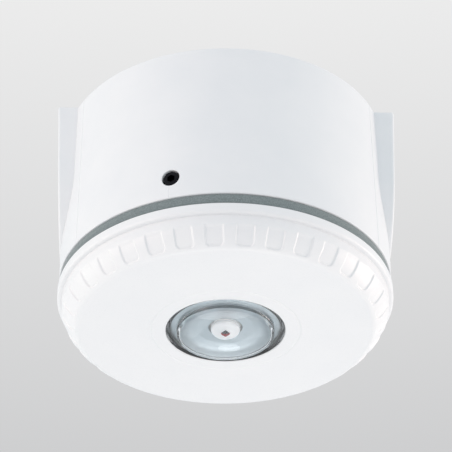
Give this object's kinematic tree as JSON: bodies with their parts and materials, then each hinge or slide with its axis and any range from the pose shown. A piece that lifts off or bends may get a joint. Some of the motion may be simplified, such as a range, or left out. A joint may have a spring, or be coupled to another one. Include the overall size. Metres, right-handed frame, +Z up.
{
  "type": "ceiling visual alarm device",
  "caption": "Round ceiling-mounted LED visual alarm head with a clear crowned lens, locked by a bayonet onto a deep sealed base with flat conduit bosses.",
  "frame": {"origin": "centre of the base's back face, which lies on the ceiling", "axes": "+Z points up into the ceiling, away from the device; the two conduit bosses lie on the X axis; the locking screw faces mostly -Y, a little to -X"},
  "size_m": [0.1028, 0.1, 0.071],
  "materials": {
    "housing_white": "fine satin moulded plastic",
    "head_white": "semi-gloss moulded plastic",
    "inner_plastic": "plain moulded plastic",
    "terminal_plastic": "moulded grey plastic",
    "seal_foam": "closed-cell grey foam",
    "black_rubber": "moulded rubber",
    "black_screw": "black oxide steel",
    "zinc_screw": "bright zinc-plated steel",
    "contact_metal": "plated spring brass",
    "lens_clear": "clear polished plastic",
    "seal_silicone": "pale translucent silicone",
    "reflector_silver": "satin metallised plastic",
    "optic_resin": "clear moulded silicone",
    "led_ceramic": "white ceramic",
    "led_die_red": "dark red die",
    "white_board": "white solder resist",
    "spreader_aluminium": "turned aluminium",
    "wire_red": "PVC insulation",
    "wire_black": "PVC insulation",
    "green_board": "green solder resist",
    "component_black": "black sleeve and epoxy",
    "ferrite_grey": "sintered ferrite",
    "dip_red": "moulded red plastic",
    "dip_white": "moulded white plastic"
  },
  "bodies": {
    "base": {"base_shell": "housing_white", "base_seal": "seal_foam", "conduit_plug_left": "housing_white", "conduit_plug_right": "housing_white", "cable_grommet": "black_rubber", "contact_carrier": "inner_plastic", "terminal_block": "terminal_plastic", "terminal_screw_1": "zinc_screw", "terminal_screw_2": "zinc_screw", "terminal_screw_3": "zinc_screw", "terminal_screw_4": "zinc_screw", "terminal_screw_5": "zinc_screw", "terminal_screw_6": "zinc_screw", "contact_spring_1": "contact_metal", "contact_spring_2": "contact_metal", "contact_spring_3": "contact_metal", "contact_spring_4": "contact_metal", "carrier_screw_1": "zinc_screw", "carrier_screw_2": "zinc_screw", "carrier_screw_3": "zinc_screw"},
    "locking_screw": {"locking_screw": "black_screw"},
    "head": {"head_cover": "head_white", "lens_window": "lens_clear", "lens_seal": "seal_silicone", "reflector": "reflector_silver", "led_optic": "optic_resin", "led_package": "led_ceramic", "led_die": "led_die_red", "led_board": "white_board", "heat_spreader": "spreader_aluminium", "led_board_screw_1": "zinc_screw", "led_board_screw_2": "zinc_screw", "spreader_screw_1": "zinc_screw", "spreader_screw_2": "zinc_screw", "led_lead_positive": "wire_red", "led_lead_negative": "wire_black", "driver_board": "green_board", "capacitor_1": "component_black", "capacitor_2": "component_black", "inductor": "ferrite_grey", "driver_chip": "component_black", "dip_switch_body": "dip_red", "head_chassis": "inner_plastic", "contact_blade_1": "contact_metal", "contact_blade_2": "contact_metal", "contact_blade_3": "contact_metal", "contact_blade_4": "contact_metal", "chassis_screw_1": "zinc_screw", "chassis_screw_2": "zinc_screw", "chassis_screw_3": "zinc_screw"},
    "dip_slider_1": {"dip_slider_1": "dip_white"},
    "dip_slider_2": {"dip_slider_2": "dip_white"},
    "dip_slider_3": {"dip_slider_3": "dip_white"},
    "dip_slider_4": {"dip_slider_4": "dip_white"}
  },
  "joints": [
    {"name": "head_twist", "type": "hinge", "parent": "base", "child": "head", "pos_m": [0, 0, -0.056], "axis": [0, 0, -1], "range_deg": [0, 18]},
    {"name": "locking_screw_turn", "type": "hinge", "parent": "base", "child": "locking_screw", "pos_m": [-0.01605, -0.04386, -0.0454], "axis": [-0.3437, -0.9391, 0], "range_deg": [0, 720]},
    {"name": "dip_slide_1", "type": "slide", "parent": "head", "child": "dip_slider_1", "axis": [0, 1, 0], "range_m": [0, 0.0014]},
    {"name": "dip_slide_2", "type": "slide", "parent": "head", "child": "dip_slider_2", "axis": [0, 1, 0], "range_m": [0, 0.0014]},
    {"name": "dip_slide_3", "type": "slide", "parent": "head", "child": "dip_slider_3", "axis": [0, 1, 0], "range_m": [0, 0.0014]},
    {"name": "dip_slide_4", "type": "slide", "parent": "head", "child": "dip_slider_4", "axis": [0, 1, 0], "range_m": [0, 0.0014]}
  ]
}
